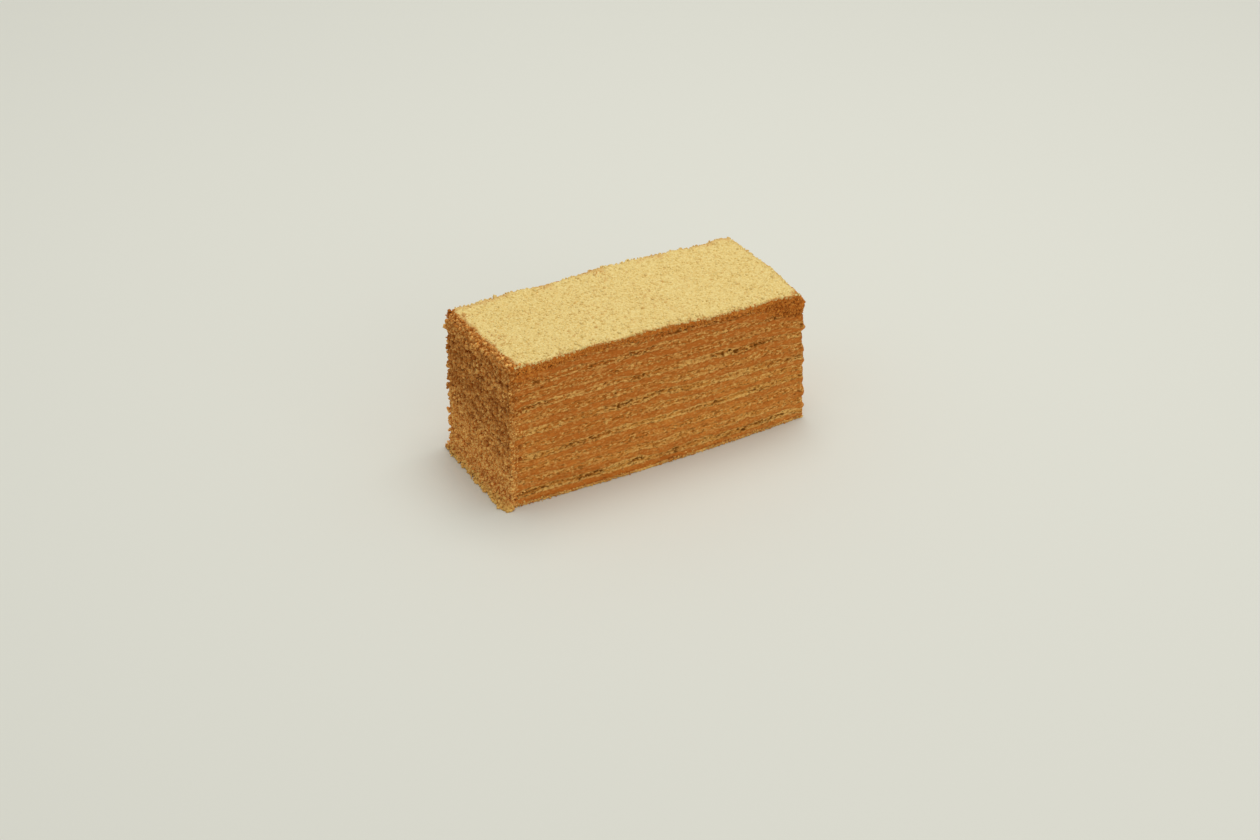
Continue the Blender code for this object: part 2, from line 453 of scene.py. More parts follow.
def sponge_material(settings):
    paint = Paint("sponge", 0.8)
    fine = paint.spots(0.5 * MM, (0.3, 0.7), 3)
    paint.color = paint.between(fine, settings.sponge_deep, settings.sponge_pale)
    streaks = paint.spots(1.0 * MM, (0.25, 0.6), 3, (4, 4, 0.8))
    paint.tint(settings.cream_color, streaks, paint.reading("smear"))
    drift(paint, settings.caramel_and_shade_color)
    broken = paint.spots(0.9 * MM, (0.26, 0.52))
    paint.tint(settings.sponge_edge, broken, paint.reading("border"))
    add_grains(paint, settings, 1.0)
    paint.tint(settings.rust_color, paint.reading("rust"))
    # Painted shade: dark flecks for the open crumb's small holes
    flecks = paint.spots(0.85 * MM, (0.55, 0.64), 2, (1.9, 1.9, 0.75), 17.1)
    paint.tint(settings.pore_shade_color, flecks, paint.reading("open"))
    # Painted shade inside the pores
    paint.tint(settings.pore_shade_color, paint.reading("pore_shade"))
    return paint.finished(paint.speckle(0.7 * MM, 4), 0.4 * MM)


def cream_material(settings, name, deep, pale):
    paint = Paint(name, 0.6)
    streaks = paint.spots(1.2 * MM, (0.3, 0.7), 4, (3.5, 3.5, 0.8))
    paint.color = paint.between(streaks, deep, pale)
    crumbs = paint.spots(0.8 * MM, (0.55, 0.7), 3, (1.6, 1.6, 0.8))
    paint.tint(settings.sponge_pale, crumbs, paint.reading("smear"))
    drift(paint, settings.caramel_and_shade_color)
    add_grains(paint, settings, 0.45)
    # Painted shade inside the pores
    paint.tint(settings.pore_shade_color, paint.reading("pore_shade"))
    paint.tint(settings.rust_color, paint.reading("rust"))
    return paint.finished(paint.speckle(0.8 * MM, 4, (1.5, 1.5, 0.8)), 0.22 * MM)


def crumb_material(settings, kind, name, depth):
    """Dry crumbs, from deep to pale by a fine speckle, and towards toast by their own shade, which
    on the crumbed end is partly painted shade.
    """
    *colors, soft = CRUMB_KINDS[kind]
    deep, pale, toast = (getattr(settings, color) for color in colors)
    paint = Paint(name, 0.9)
    paint.color = paint.between(paint.spots(0.7 * MM, (0.5 - soft, 0.5 + soft), 3), deep, pale)
    paint.tint(toast, paint.reading("shade"))
    return paint.finished(paint.speckle(0.3 * MM, 3), depth)


def floor_material(settings):
    paint = Paint("studio_floor", 0.45)
    paint.color = settings.floor_color
    paint.tint(FLOOR_SHADE, paint.spots(0.4, (0.2, 0.8), 1), 0.15)
    return paint.finished()


# --- Layers ----------------------------------------------------------------------------

RIM_PITCH = 0.30 * MM
ROW_PITCH = 0.25 * MM
HIDDEN_PITCH = 4 * MM
FACE_PITCH = 10 * MM
LAYER_LOW = LOW + np.array([END_CRUMBS * 0.7, 0])

# The radius of the far corners: at the foot, at the top, and as the pressed-in crumbs see it
LOW_CORNER = 0.9 * MM
HIGH_CORNER = 3.4 * MM
CRUMBED_CORNER = 2.6 * MM

# How far each kind of layer stands out midway up, at its knife-cut side and its torn sides
SPONGE_BULGES = (-0.15 * MM, -0.14 * MM)
CREAM_BULGES = (0.15 * MM, 0.12 * MM)
BED_BULGES = (0.12 * MM, 0.20 * MM)

# The waver of a boundary along the rim: its height, its size along and up, and its seed
WAVERS = (
    (0.75 * MM, 8 * MM, 5 * MM, 42),
    (0.34 * MM, 2.6 * MM, 1 * MM, 40),
    (0.20 * MM, 0.8 * MM, 1 * MM, 41),
)
WAVERS_FROM = 3
COAT_WAVER = 0.3
COAT_CLEARANCE = 0.15 * MM

# The bulging shoulder under the top's far front corner
LUMP = 1.9 * MM
LUMP_STARTS = (1.8 * MM, 4.8 * MM)
LUMP_ENDS = (5 * MM, 17 * MM)
LUMP_WIDTH = (2 * MM, 9 * MM)

PORE_SIZE = (1.1 * MM, 0.45 * MM)
PORE_DEPTH = 0.5 * MM
TORN_PORE_DEPTH = 0.7 * MM

# How plainly each sponge layer shows at the cut, from the base up
SPONGE_SHOW = (0.95, 0.25, 0.20, 0.80, 0.25, 0.85, 0.25, 1.0, 0.35, 0.85, 0.90)


def travelled(rim):
    """The distance round the rim at each of its points."""
    steps = np.linalg.norm(np.diff(rim, axis=0), axis=1)
    return np.concatenate([[0], np.cumsum(steps)])


def rim_height(index, rim):
    """The boundary's height at the rim, with the small waver of a cut edge."""
    height = boundary(index, rim)
    if 0 < index < COAT_TOP:
        where = np.column_stack([rim, np.full(len(rim), LEVELS[index])])
        strength = min(index / WAVERS_FROM, 1) * (COAT_WAVER if index == COAT_FOOT else 1)
        for tall, along, up, seed in WAVERS:
            height += strength * tall * grain(where, (along, along, up), seed)
    if index == COAT_FOOT:
        height = np.minimum(height, boundary(index, rim) - COAT_CLEARANCE)
    return height


def ragged(index, rim, torn):
    """How unevenly the boundary stands out at the rim."""
    roughness = KNIFE_ROUGHNESS + (TORN_ROUGHNESS - KNIFE_ROUGHNESS) * torn
    return roughness * wave(rim, ROUGHNESS_WAVE, index * ROUGHNESS_DRIFT)


def corner_lump(index, rim):
    """How far the far front corner stands out at this boundary, as a shoulder under the top."""
    depth = LEVELS[COAT_TOP] - LEVELS[index]
    tall = ease(*LUMP_STARTS, depth) * (1 - ease(*LUMP_ENDS, depth))
    return LUMP * tall * (1 - ease(*LUMP_WIDTH, rim[:, 1] - LOW[1]))


def stand_out(index, rim, outward):
    """How far the boundary stands out of the nominal outline."""
    front, end = np.clip(-outward[:, 1], 0, 1), np.clip(outward[:, 0], 0, 1)
    far = lean(index) + corner_lump(index, rim)
    uneven = ragged(index, rim, tornness(outward))
    return uneven + far * end + bow(index, rim[:, 0]) * front


def wall_out(rim, outward, height):
    """How far the wall of the layers stands out at points on its outline; height is a share
    of the stack's."""
    level = height * LEVELS[COAT_TOP]
    index = np.clip(np.searchsorted(LEVELS, level) - 1, 0, COAT_TOP - 1)
    out = np.zeros(len(rim))
    for number in np.unique(index):
        here = index == number
        share = (level[here] - LEVELS[number]) / (LEVELS[number + 1] - LEVELS[number])
        low, high = (stand_out(edge, rim[here], outward[here]) for edge in (number, number + 1))
        out[here] = low + (high - low) * share
    return out


def cut_relief(points, torn, roughness):
    """The relief of a cut surface, coarser where it tore, with its finest part by roughness."""
    coarse = (0.12 + 0.22 * torn) * grain(points, (4 * MM, 4 * MM, 1.5 * MM), 50)
    middle = (0.14 + 0.14 * torn) * grain(points, (1.3 * MM, 1.3 * MM, 0.9 * MM), 51)
    fine = (0.13 + 0.06 * torn) * grain(points, 0.5 * MM, 52)
    return MM * (coarse + middle + roughness * fine)


def open_crumb_shade(flat, within, cluster, pores, seed):
    """How much painted shade the open crumb's small holes get, as dark flecks: most inside the
    layer, where its pores cluster.
    """
    loose = ease(0.15, 0.7, within + 0.4 * grain(flat, 2 * MM, seed + 8))
    return (0.35 + 0.65 * cluster) * pores * loose


def pale_border(flat, within, seed):
    """How plainly the sponge's pale border shows: frayed, and gone in places."""
    frayed = 0.4 * grain(flat, (3.5 * MM, 0.9 * MM), seed + 9)
    kept = ease(-0.55, 0.15, grain(flat, (9 * MM, 1.9 * MM), seed + 10))
    return ease(0.06, 0.36, 1 - within + frayed) * (0.3 + 0.7 * kept)


def layer_mesh(index, bulges, pores, roughness, seed):
    """Points and faces of the layer between two boundaries, and at each point how much painted
    shade its pore and its open crumb get, and how much of a pale border it shows."""
    corner = LOW_CORNER + (HIGH_CORNER - LOW_CORNER) * ease(0.75, 1, (index + 1) / COAT_TOP)
    rim, outward = rounded_rim(LAYER_LOW, HIGH, RIM_PITCH, (0, corner, corner, 0), HIDDEN_PITCH)
    torn, shown, distance = tornness(outward), visible(outward), travelled(rim)
    low, high = rim_height(index, rim), rim_height(index + 1, rim)
    low_out, high_out = stand_out(index, rim, outward), stand_out(index + 1, rim, outward)
    bulge = bulges[0] + (bulges[1] - bulges[0]) * torn
    pore_depth = PORE_DEPTH + (TORN_PORE_DEPTH - PORE_DEPTH) * torn
    rows = max(round((LEVELS[index + 1] - LEVELS[index]) / ROW_PITCH), 2)
    rings, values = [], {"pore_shade": [], "border": [], "open": []}
    for share in np.linspace(0, 1, rows + 1):
        height = low + (high - low) * share
        within = 4 * share * (1 - share)
        flat = np.column_stack([distance, height])
        cluster = ease(-0.35, 0.35, grain(flat, (5 * MM, 40 * MM), seed + 3))
        hollow = cluster * domes(flat, PORE_SIZE, seed, 0.5 * pores**2) * within**1.4
        relief = cut_relief(np.column_stack([rim, height]), torn, roughness)
        out = low_out + (high_out - low_out) * share + relief
        out += bulge * math.sqrt(within) - pore_depth * hollow
        rings.append(np.column_stack([rim + outward * (out * shown)[:, None], height]))
        # Painted shade: how dark the inside of each pore is painted
        values["pore_shade"].append(ease(0.25, 0.75, hollow) * shown)
        values["border"].append(pale_border(flat, within, seed))
        values["open"].append(open_crumb_shade(flat, within, cluster, pores, seed))
    inside = inner_grid(LAYER_LOW, HIGH, FACE_PITCH)
    points, faces = closed_piece(rim, rings, inside, inside, laid_on(index), laid_on(index + 1))
    hidden = np.zeros(2 * len(inside))
    return points, faces, {label: np.concatenate([*row, hidden]) for label, row in values.items()}


def rust_reach(places):
    """How far down the cut the rust under the top's rim comes: deepest at both of its ends."""
    along = places[:, 0] / LENGTH + 0.5
    far = ease(0.7, 1, along) ** 1.5 * (1 - 0.6 * ease(LOW[1], HIGH[1], places[:, 1]))
    return MM * (2.0 + 3.6 * (1 - ease(0, 0.38, along)) + 5.6 * far)


def rusted(points):
    """How rusty the cut is: most under the rim of the top."""
    depth = LEVELS[COAT_TOP] * settled(points) - points[:, 2]
    depth += 0.9 * MM * grain(points, (2.5 * MM, 2.5 * MM, 1.2 * MM), 240)
    under_rim = 1 - ease(0.75, 1.2, depth / rust_reach(points))
    inward = points[:, 0] - LOW[0]
    uneven = inward + 2.5 * MM * grain(points, 1.6 * MM, 241)
    beside_end = 0.2 * (1 - ease(0.5 * MM, 4 * MM, uneven))
    at_foot = 0.5 * (1 - ease(1.5 * MM, 3.2 * MM, points[:, 2]))
    at_foot *= 1 - ease(0.3 * LENGTH, 0.8 * LENGTH, inward)
    return np.maximum.reduce([0.9 * under_rim, beside_end, at_foot])


class HONEYCAKE_OT_crumb_bed(bpy.types.Operator):
    """Add the thin bed of crumbs that the slice stands on"""

    bl_idname = "honeycake.crumb_bed"
    bl_label = "Crumb Bed"

    def execute(self, context):
        material = crumb_material(context.scene.honey_cake, "foot", "bed_crumbs", 0.2 * MM)
        points, faces, _ = layer_mesh(0, BED_BULGES, 0, 1.5, 30)
        points[:, 2] = np.maximum(points[:, 2], 0)
        piece = add_mesh("crumb_bed", points, faces, material, {"shade": np.zeros(len(points))})
        dress(piece, "crumb_base")
        return {"FINISHED"}


class HONEYCAKE_OT_sponge_layers(bpy.types.Operator):
    """Add the sponge layers, with the pores that the knife opened"""

    bl_idname = "honeycake.sponge_layers"
    bl_label = "Sponge Layers"

    def execute(self, context):
        material = sponge_material(context.scene.honey_cake)
        for number, show in enumerate(SPONGE_SHOW, 1):
            seed = 60 + 11 * number
            points, faces, values = layer_mesh(2 * number, SPONGE_BULGES, show, 1.0, seed)
            uneven = grain(points, (16 * MM, 16 * MM, 40 * MM), 200 + number)
            smear = np.clip(1.0 - show + 0.6 * uneven, 0, 1)
            values |= {"smear": smear, "rust": rusted(points)}
            values["border"] *= (0.82 - 0.42 * number / SPONGE_COUNT) * (1 - 0.8 * smear)
            piece = add_mesh(f"cut_sponge_{number:02d}", points, faces, material, values)
            dress(piece, f"sponge_{number:02d}")
        return {"FINISHED"}


class HONEYCAKE_OT_cream_layers(bpy.types.Operator):
    """Add the cream layers and the caramel layer under the top crumbs"""

    bl_idname = "honeycake.cream_layers"
    bl_label = "Cream Layers"

    def execute(self, context):
        settings = context.scene.honey_cake
        cream = cream_material(settings, "cream", settings.cream_deep, settings.cream_color)
        caramel = cream_material(settings, "caramel", settings.caramel_deep, settings.caramel_and_shade_color)
        top = SPONGE_COUNT + 1
        for number in range(1, top + 1):
            seed = 400 + 13 * number
            points, faces, values = layer_mesh(2 * number - 1, CREAM_BULGES, 0.15, 0.5, seed)
            uneven = grain(points, (12 * MM, 12 * MM, 30 * MM), 230 + number)
            values |= {"smear": np.clip(0.55 + 0.5 * uneven, 0, 1), "rust": rusted(points)}
            material, slot = (caramel, "caramel") if number == top else (cream, "cream")
            piece = add_mesh(f"cut_cream_{number:02d}", points, faces, material, values)
            dress(piece, f"cream_{number:02d}")
        return {"FINISHED"}


# --- Crumb coats -----------------------------------------------------------------------

COAT_ROWS = 4

# The top coat's outline and its rounded rims, with a peak near its far back corner
TOP_PITCH = 0.40 * MM
TOP_LOW = LOW + np.array([0.9 * MM, 0])
TOP_HIGH = HIGH + np.array([lean(COAT_FOOT), 0])
TOP_CORNERS = (1.6 * MM, 3.2 * MM, 3.6 * MM, 3.6 * MM)
CLEAR_OF_RIM = 0.9 * MM
RIM_WIDTH = 2.4 * MM
RIM_DROP = 0.8 * MM
END_RIM_WIDTH = 3.4 * MM
END_RIM_DROP = 1.9 * MM
PEAK = TOP_HIGH - (5 * MM, 2 * MM)
PEAK_HEIGHT = 0.9 * MM
TOP_SINK = 0.25 * MM

# The end coat's outline, its skirt at the foot, and its rounded sides and top
END_PITCH = 0.42 * MM
END_CORNERS = (0, 0, 3.2 * MM, 1.2 * MM)
END_CRUMB = 1.5 * MM
END_SINK = 0.6 * MM
FOOT_SPREAD = 1.6 * MM
FOOT_HEIGHT = 4.5 * MM
SIDE_WIDTH = 2.2 * MM
SIDE_DROP = 0.7 * MM
SHOULDER_WIDTH = 3 * MM
SHOULDER_DROP = 1.2 * MM


def crumbled(flat, size, seed):
    """The relief, from 0 to about 1, of crumbs about size across packed side by side."""
    warp = np.stack([grain(flat, size * 0.6, seed), grain(flat, size * 0.6, seed + 1)], axis=1)
    warped = flat + 0.25 * size * warp
    large = domes(warped, size * 1.5, seed + 2, 0.4)
    return np.maximum(domes(warped, size, seed + 6) * 0.75, large)


def top_outline():
    """Points round the top coat, their outward directions, and how far each stands out."""
    rim, outward = rounded_rim(TOP_LOW, TOP_HIGH, TOP_PITCH, TOP_CORNERS)
    return rim, outward, ragged(COAT_FOOT, rim, tornness(outward))


def coat_height(places):
    """The surface of the top crumbs without its scattered crumbs."""
    inset = np.minimum(places - TOP_LOW, TOP_HIGH - places).min(axis=1)
    drop = RIM_DROP * (1 - ease(0, RIM_WIDTH, inset)) ** 2
    drop += END_RIM_DROP * (1 - ease(0, END_RIM_WIDTH, places[:, 0] - LOW[0])) ** 2
    near = 1.5 - 0.7 * ease(LOW[0], HIGH[0], places[:, 0])
    behind = 1 - ease(0.5 * MM, 4 * MM, HIGH[1] - places[:, 1])
    lumps = 0.4 * MM * behind * domes(places, 3.2 * MM, 312, 0.35)
    lumps += PEAK_HEIGHT * (1 - ease(2 * MM, 5 * MM, np.linalg.norm(places - PEAK, axis=1)))
    relief = 0.28 * MM * near * crumbled(places, 0.95 * MM, 300)
    relief += 0.08 * MM * grain(places, 0.5 * MM, 310)
    mounds = 0.22 * MM * near * grain(places, 5 * MM, 311)
    return boundary(COAT_TOP, places) - drop + relief + mounds + lumps - TOP_SINK


def on_coat(places):
    return np.column_stack([places, coat_height(places)])


def browned(points):
    """How brown the top crumbs are: wholly where they roll over onto the crumbed end."""
    inset = points[:, 0] - LOW[0] + 1.5 * MM * grain(points[:, :2], 1.8 * MM, 323)
    return 1 - ease(1.2 * MM, 3.8 * MM, inset)


def worn(places):
    """How brown the far front corner of the top is."""
    gone = np.linalg.norm(places - (TOP_HIGH[0], TOP_LOW[1]), axis=1)
    return 1 - ease(1.8 * MM, 3.4 * MM, gone + 0.9 * MM * grain(places, 1.2 * MM, 327))


def golden(places):
    """How deep a yellow the top's crumbs are along its back edge, in patches."""
    inset = HIGH[1] - places[:, 1] + 0.9 * MM * grain(places, 1.5 * MM, 328)
    patches = ease(-0.45, 0.35, grain(places, 6 * MM, 329))
    return 0.4 * patches * (1 - ease(1.6 * MM, 4.6 * MM, inset))


def end_heights(flat):
    """The heights of the end coat at rows of y and z, drawn out to the settled slice's."""
    spots = np.column_stack([np.full(len(flat), LOW[0]), flat[:, 0]])
    return boundary(COAT_FOOT, spots) * flat[:, 1] / LEVELS[COAT_FOOT]


def end_relief(flat):
    """How far the end coat's surface stands out; the cream layers behind it swell it in rows."""
    foot = FOOT_SPREAD * (1 - ease(0, FOOT_HEIGHT, flat[:, 1]))
    foot *= 1 - ease(LOW[1], HIGH[1], flat[:, 0]) / 2
    relief = 0.95 * MM * crumbled(flat, END_CRUMB, 330) + 0.15 * MM * grain(flat, 0.6 * MM, 340)
    rows = np.cos(2 * math.pi * (flat[:, 1] - BASE_CRUMBS - CREAM / 2) / (CREAM + SPONGE))
    swell = 0.32 * MM * rows * (1 + 0.8 * grain(flat, (7 * MM, 3 * MM), 342))
    sides = 1 - ease(0, SIDE_WIDTH, WIDTH / 2 - np.abs(flat[:, 0]))
    shoulder = 1 - ease(0, SHOULDER_WIDTH, LEVELS[COAT_FOOT] - flat[:, 1])
    rounding = SIDE_DROP * sides**2 + SHOULDER_DROP * shoulder**2
    uneven = 0.3 * MM * grain(flat, 6 * MM, 341)
    return foot + relief + swell + uneven - rounding - END_SINK


def end_outer(flat):
    return np.column_stack([LOW[0] - end_relief(flat), flat[:, 0], end_heights(flat)])


def end_inner(flat):
    inner = np.full(len(flat), LOW[0] + END_CRUMBS)
    return np.column_stack([inner, flat[:, 0], end_heights(flat)])


def end_painted_shade(places, most):
    """Painted shade on the end's crumbs at rows of y and z, in their toast colour: by most above
    its middle, and least at the foot of its back, which the floor's bounced light lights more."""
    high_up = places[:, 1] / LEVELS[COAT_FOOT] - 0.08 * (places[:, 0] / WIDTH + 0.5)
    return most * ease(-0.04, 0.55, high_up) - 0.1 * ease(0.62, 0.9, high_up) - 0.4


class HONEYCAKE_OT_end_coat(bpy.types.Operator):
    """Add the coarser coat of crumbs on the short end"""

    bl_idname = "honeycake.end_coat"
    bl_label = "End Coat"

    def execute(self, context):
        material = crumb_material(context.scene.honey_cake, "brown", "brown_crumbs", 0.25 * MM)
        low, high = np.array([LOW[1], 0]), np.array([HIGH[1], LEVELS[COAT_FOOT]])
        rim, outward = rounded_rim(low, high, END_PITCH, END_CORNERS)
        back, front = end_inner(rim), end_outer(rim)
        rings = []
        for share in np.linspace(0, 1, COAT_ROWS + 1):
            points = back + (front - back) * share
            fray = 0.3 * MM * grain(points, 1.3 * MM, 350) + 0.15 * MM * grain(points, 0.6 * MM, 351)
            points[:, 1] += outward[:, 0] * (fray - 0.3 * MM * share**2)
            rings.append(points)
        under, over = inner_grid(low, high, FACE_PITCH), inner_grid(low, high, END_PITCH)
        points, faces = closed_piece(rim, rings, under, over, end_inner, end_outer)
        # Painted shade: the gaps between the coat's crumbs darkened towards the toast colour, and
        # the coat darker high up
        gap_shade = 1 - ease(0.1, 0.6, crumbled(points[:, 1:], END_CRUMB, 330))
        shade = 0.7 * gap_shade + 0.4 * grain(points, 2.5 * MM, 352) + end_painted_shade(points[:, 1:], 0.78)
        values = {"shade": np.clip(shade, 0, 1)}
        piece = add_mesh("end_coat", points, faces[:, ::-1], material, values)
        dress(piece, "crumb_end")
        return {"FINISHED"}


class HONEYCAKE_OT_top_coat(bpy.types.Operator):
    """Add the coat of fine crumbs that covers the top"""

    bl_idname = "honeycake.top_coat"
    bl_label = "Top Coat"

    def execute(self, context):
        material = crumb_material(context.scene.honey_cake, "pale", "pale_crumbs", 0.15 * MM)
        rim, outward, base_out = top_outline()
        foot, top = rim_height(COAT_FOOT, rim), coat_height(rim)
        rings, sides = [], []
        for share in np.linspace(0, 1, COAT_ROWS + 1):
            height = foot + (top - foot) * share
            points = np.column_stack([rim, height])
            fray = 0.35 * MM * grain(points, 1.2 * MM, 320) + 0.2 * MM * grain(points, 0.6 * MM, 321)
            out = base_out + fray + 0.25 * MM * math.sin(math.pi * share) - 0.35 * MM * share**2
            rings.append(np.column_stack([rim + outward * out[:, None], height]))
            sides.append(1 - ease(0.45, 0.95, share + 0.3 * grain(points, 1.2 * MM, 324)))
        under = inner_grid(TOP_LOW, TOP_HIGH, FACE_PITCH)
        over = inner_grid(TOP_LOW + CLEAR_OF_RIM, TOP_HIGH - CLEAR_OF_RIM, TOP_PITCH)
        points, faces = closed_piece(rim, rings, under, over, laid_on(COAT_FOOT), on_coat)
        shade = browned(points) * (0.8 + 0.35 * grain(points, 0.9 * MM, 326))
        shade += 0.8 * worn(points[:, :2]) + golden(points[:, :2])
        shade += 0.25 * grain(points, 3 * MM, 322) - 0.1
        wall = np.concatenate(sides)
        shade[: len(wall)] += wall
        piece = add_mesh("top_coat", points, faces, material, {"shade": np.clip(shade, 0, 1)})
        dress(piece, "crumb_top")
        return {"FINISHED"}


# --- Single crumbs ---------------------------------------------------------------------

GOLDEN_RATIO = (1 + math.sqrt(5)) / 2

# How densely the crumbs lie in the open, and how many lie along each edge
TOP_CELL = 0.78 * MM
TOP_KEPT = 0.9
END_CELL = 0.95 * MM
END_KEPT = 0.85
TOP_RIM_CRUMBS = 2200
END_RIM_CRUMBS = 2000
END_SIDE_CRUMBS = 1500
UNDER_RIM_CRUMBS = 3600
CORNER_CRUMBS = 1100
END_FOOT_CRUMBS = 1200
FRONT_FOOT_CRUMBS = 1500

# The crumbs pressed in at the far front corner: how far from it they reach, and how deep
# under the top all pressed-in crumbs start
CORNER_REACH = (14 * MM, 18 * MM)
PRESSED_DEPTH = 1.5 * MM
EDGE_PITCH = 0.1 * MM

# How far the fringe at the end's foot runs past the front corner, and how far out it lies
FRINGE_PAST = 1.65 * MM
FRINGE_REACH = 3.25 * MM


def icosahedron():
    """The corners, at about 1 from the middle, and faces of a twenty-sided crumb."""
    corners = []
    for a in (-1, 1):
        for b in (-GOLDEN_RATIO, GOLDEN_RATIO):
            corners += [(0, a, b), (a, b, 0), (b, 0, a)]
    corners = np.array(corners, float)
    faces = []
    for i in range(12):
        for j in range(i + 1, 12):
            for k in range(j + 1, 12):
                sides = corners[[i, j, k]] - corners[[j, k, i]]
                if np.allclose(np.linalg.norm(sides, axis=1), 2):
                    flipped = np.linalg.det(corners[[i, j, k]]) < 0
                    faces.append((i, k, j) if flipped else (i, j, k))
    return corners / np.linalg.norm(corners[0]), np.array(faces)


def random_turns(random, count):
    """Evenly spread random rotations, as matrices."""
    quaternions = random.normal(size=(count, 4))
    w, x, y, z = quaternions.T / np.linalg.norm(quaternions, axis=1)
    rows = [
        [1 - 2 * (y * y + z * z), 2 * (x * y - z * w), 2 * (x * z + y * w)],
        [2 * (x * y + z * w), 1 - 2 * (x * x + z * z), 2 * (y * z - x * w)],
        [2 * (x * z - y * w), 2 * (y * z + x * w), 1 - 2 * (x * x + y * y)],
    ]
    return np.array(rows).transpose(2, 0, 1)


def crumb_heap(random, middles, sizes, shades):
    """Points, faces and shades of one irregular crumb at each middle; sizes are widths."""
    corners, faces = icosahedron()
    count = len(middles)
    stretch = random.uniform(0.65, 1.25, (count, 1, 3))
    lumps = random.uniform(0.75, 1.2, (count, len(corners), 1))
    shapes = corners * stretch * lumps * (sizes / 2)[:, None, None]
    points = np.einsum("nij,nkj->nki", random_turns(random, count), shapes) + middles[:, None, :]
    offsets = np.arange(count)[:, None, None] * len(corners)
    return points.reshape(-1, 3), (faces + offsets).reshape(-1, 3), np.repeat(shades, len(corners))


def add_crumbs(context, name, kind, depth, seed, makers):
    """One piece of single crumbs, none under the floor; each maker draws the middles, sizes
    and shades of a group of them."""
    settings = context.scene.honey_cake
    random = np.random.default_rng(seed)
    groups = [make(random, settings.crumb_size) for make in makers]
    middles, sizes, shades = (np.concatenate(drawn) for drawn in zip(*groups))
    points, faces, shade = crumb_heap(random, middles, sizes, shades)
    points[:, 2] = np.maximum(points[:, 2], 0)
    material = crumb_material(settings, kind, f"{kind}_loose", depth)
    piece = add_mesh(name, points, faces, material, {"shade": shade})
    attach(piece, "root")
    return {"FINISHED"}


def crumb_sizes(random, count, usual, spread, least=0.5, most=2.0):
    """Random widths about the usual one, from least to most times it."""
    return usual * random.lognormal(0, spread, count).clip(least, most)


def scattered(random, low, high, pitch, keep):
    """Places in the cells of a grid, each shifted at random, with a share of the cells kept."""
    axes = [np.arange(start, end, pitch) for start, end in zip(low, high)]
    grid = np.stack(np.meshgrid(*axes), -1).reshape(-1, len(low))
    places = grid + random.uniform(0, pitch, grid.shape)
    return places[random.random(len(places)) < keep]


def on_wall(places, ways, share, proud, heights):
    """Points that stand proud of the wall of the layers, at a share of its height."""
    out = wall_out(places, ways, share) + proud
    return np.column_stack([places + ways * out[:, None], heights])


def under_top(places, ways, depth, proud):
    """Points that stand proud of the wall of the layers, at a depth under the top."""
    heights = boundary(COAT_TOP, places) - depth
    return on_wall(places, ways, 1 - depth / LEVELS[COAT_TOP], proud, heights)


def crumbs_over_top(random, usual):
    """Crumbs all over the top, mottled brown towards the crumbed end."""
    places = scattered(random, TOP_LOW, TOP_HIGH, TOP_CELL, TOP_KEPT)
    count = len(places)
    sizes = crumb_sizes(random, count, usual, 0.32)
    heights = coat_height(places) + sizes * random.uniform(-0.38, -0.02, count)
    middles = np.column_stack([places, heights])
    mottled = 0.3 * ease(0.3, 0.8, grain(places, 7 * MM, 325))
    mottled *= 1 - ease(LOW[0], HIGH[0], places[:, 0])
    shades = random.normal(-0.06, 0.14, count) + browned(middles) + mottled + golden(places)
    return middles, sizes, np.clip(shades, 0, 1)


def crumbs_round_top(random, usual):
    """Crumbs round the rim of the top, browner the lower they hang."""
    rim, outward, out = top_outline()
    chosen = random.integers(0, len(rim), TOP_RIM_CRUMBS)
    chosen = chosen[visible(outward[chosen])]
    count = len(chosen)
    sizes = crumb_sizes(random, count, usual * 0.85, 0.3, most=1.8)
    depth = 0.2 * MM + random.exponential(0.35 * MM, count)
    proud = out[chosen] - 0.2 * MM + random.uniform(0, 0.25 * MM, count)
    places = rim[chosen] + outward[chosen] * proud[:, None]
    shades = random.normal(0.0, 0.2, count) + 0.8 * depth / MM - 0.1 + worn(places)
    middles = np.column_stack([places, coat_height(rim[chosen]) - depth])
    return middles, sizes, np.clip(shades, 0, 0.9)


class HONEYCAKE_OT_top_crumbs(bpy.types.Operator):
    """Scatter single crumbs over the top coat"""

    bl_idname = "honeycake.top_crumbs"
    bl_label = "Top Crumbs"

    def execute(self, context):
        makers = (crumbs_over_top, crumbs_round_top)
        return add_crumbs(
            context, "top_crumbs", "pale", depth=0.1 * MM, seed=11, makers=makers
        )


def crumbs_over_end(random, usual):
    """Crumbs all over the crumbed end."""
    high = np.array([HIGH[1], LEVELS[COAT_FOOT] * 0.99])
    flat = scattered(random, np.array([LOW[1], 0.3 * MM]), high, END_CELL, END_KEPT)
    count = len(flat)
    sizes = crumb_sizes(random, count, usual * 1.4, 0.4)
    out = LOW[0] - end_relief(flat) - sizes * random.uniform(-0.15, 0.3, count)
    heights = np.maximum(end_heights(flat), sizes * 0.4)
    middles = np.column_stack([out, flat[:, 0], heights])
    # Painted shade by height, as on the end coat
    shades = random.normal(0.0, 0.25, count) + end_painted_shade(middles[:, 1:], 0.91)
    return middles, sizes, np.clip(shades, 0, 1)


def crumbs_over_end_rim(random, usual):
    """Crumbs where the crumbed end rolls over onto the top."""
    inset = random.exponential(1.1, END_RIM_CRUMBS) * MM
    across = random.uniform(LOW[1] + 0.4 * MM, HIGH[1] - 2.6 * MM, END_RIM_CRUMBS)
    places = np.column_stack([LOW[0] + 0.2 * MM + inset, across])
    sizes = crumb_sizes(random, END_RIM_CRUMBS, usual * 1.2, 0.4)
    lift = np.minimum(coat_height(places), boundary(COAT_TOP, places) - 0.5 * MM)
    shades = np.clip(random.normal(0.56, 0.36, END_RIM_CRUMBS), 0.2, 1)
    return np.column_stack([places, lift - sizes * 0.22]), sizes, shades


